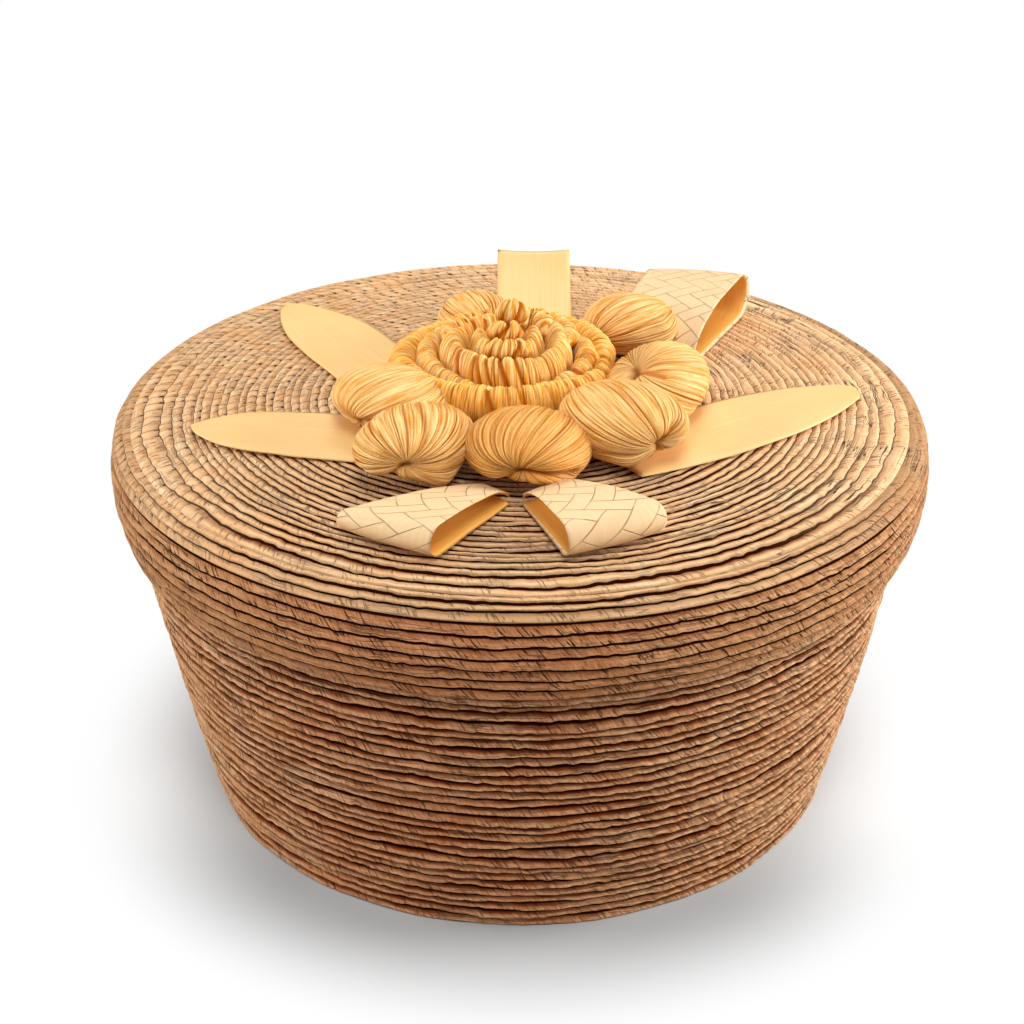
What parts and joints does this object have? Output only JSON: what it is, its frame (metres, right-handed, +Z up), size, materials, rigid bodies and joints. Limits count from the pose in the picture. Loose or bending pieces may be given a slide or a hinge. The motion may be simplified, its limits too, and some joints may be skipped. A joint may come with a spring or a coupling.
{
  "type": "tortilla warmer",
  "caption": "Round sewn palm-braid tortilla warmer: tapered basket with a lift-off domed lid and a palm flower with leaves and plaited ribbon loops on top.",
  "frame": {"origin": "centre of the basket's base, in the plane of the table", "axes": "+Z up out of the lid, -Y towards the front of the flower, +X to the right seen from the front"},
  "size_m": [0.25, 0.25, 0.1568],
  "materials": {
    "basket_braid": "dry natural palm braid",
    "lid_braid": "dry natural palm braid",
    "palm_leaf": "smooth pale palm",
    "plaited_ribbon": "smooth plaited palm",
    "gathered_palm": "fine pleated golden palm",
    "thread": "matt"
  },
  "bodies": {
    "basket": {"bowl_floor": "basket_braid", "bowl_wall": "basket_braid", "bowl_neck": "basket_braid"},
    "lid": {"lid_crown": "lid_braid", "lid_skirt": "lid_braid", "flower_backing": "palm_leaf", "flower_stitches": "thread", "leaf_front_left": "palm_leaf", "leaf_back_left": "palm_leaf", "leaf_right": "palm_leaf", "leaf_rear": "palm_leaf", "loop_front_left": "plaited_ribbon", "loop_front_right": "plaited_ribbon", "loop_back_right": "plaited_ribbon", "petal_front": "gathered_palm", "petal_front_left": "gathered_palm", "petal_left": "gathered_palm", "petal_front_right": "gathered_palm", "petal_right": "gathered_palm", "petal_back_right": "gathered_palm", "petal_back_left": "gathered_palm", "rosette_outer": "gathered_palm", "rosette_middle": "gathered_palm", "rosette_inner": "gathered_palm", "rosette_bud": "gathered_palm"}
  },
  "joints": [
    {"name": "lid_lift", "type": "slide", "parent": "basket", "child": "lid", "axis": [0, 0, 1], "range_m": [0, 0.08]}
  ]
}
